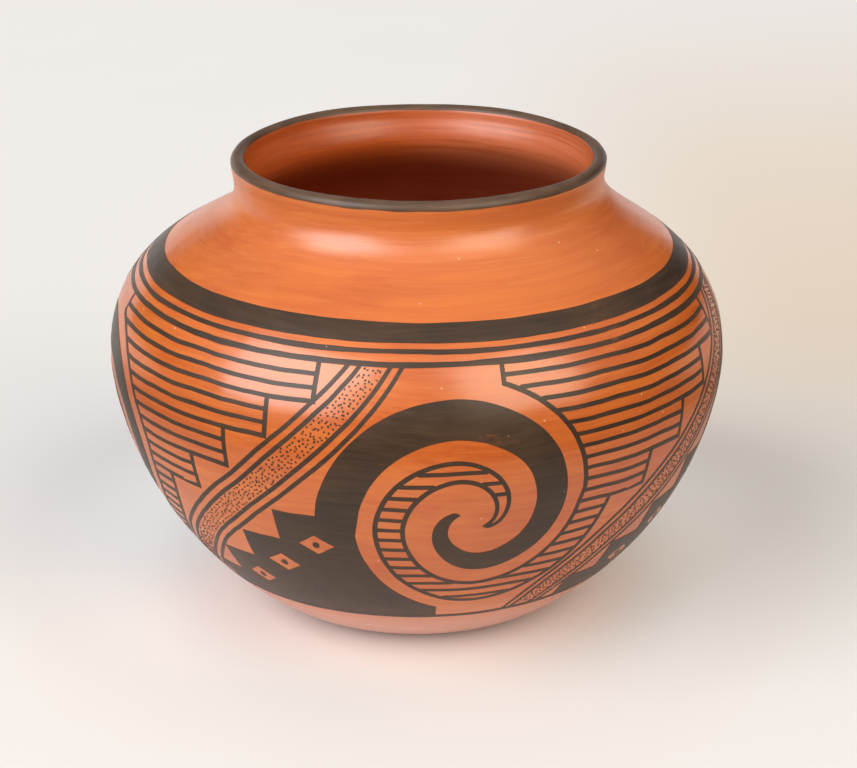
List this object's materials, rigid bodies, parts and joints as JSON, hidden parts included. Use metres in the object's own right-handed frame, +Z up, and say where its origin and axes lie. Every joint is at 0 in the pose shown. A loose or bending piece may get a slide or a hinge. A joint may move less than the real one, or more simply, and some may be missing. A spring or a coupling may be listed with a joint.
{
  "type": "pottery jar",
  "caption": "Round-bellied coil-built pottery jar with sloping shoulder, short neck, rounded lip and open mouth; polished red slip painted in black. Stands on a flat base.",
  "frame": {"origin": "middle of the flat base, on the surface that the jar stands on", "axes": "+Z up along the jar's axis, towards the mouth; the view of the picture looks along +Y"},
  "size_m": [0.26, 0.26, 0.1964],
  "materials": {
    "red_slip": "stone-polished red slip, satin",
    "black_paint": "brushed mineral paint, matt"
  },
  "bodies": {
    "root": {"base_pat": "red_slip", "lower_coil_1": "red_slip", "lower_coil_2": "red_slip", "lower_coil_3": "red_slip", "lower_coil_4": "red_slip", "lower_coil_5": "red_slip", "shoulder_coil_1": "red_slip", "shoulder_coil_2": "red_slip", "shoulder_coil_3": "red_slip", "shoulder_coil_4": "red_slip", "neck_coil": "red_slip", "rim_coil": "red_slip"}
  },
  "joints": []
}
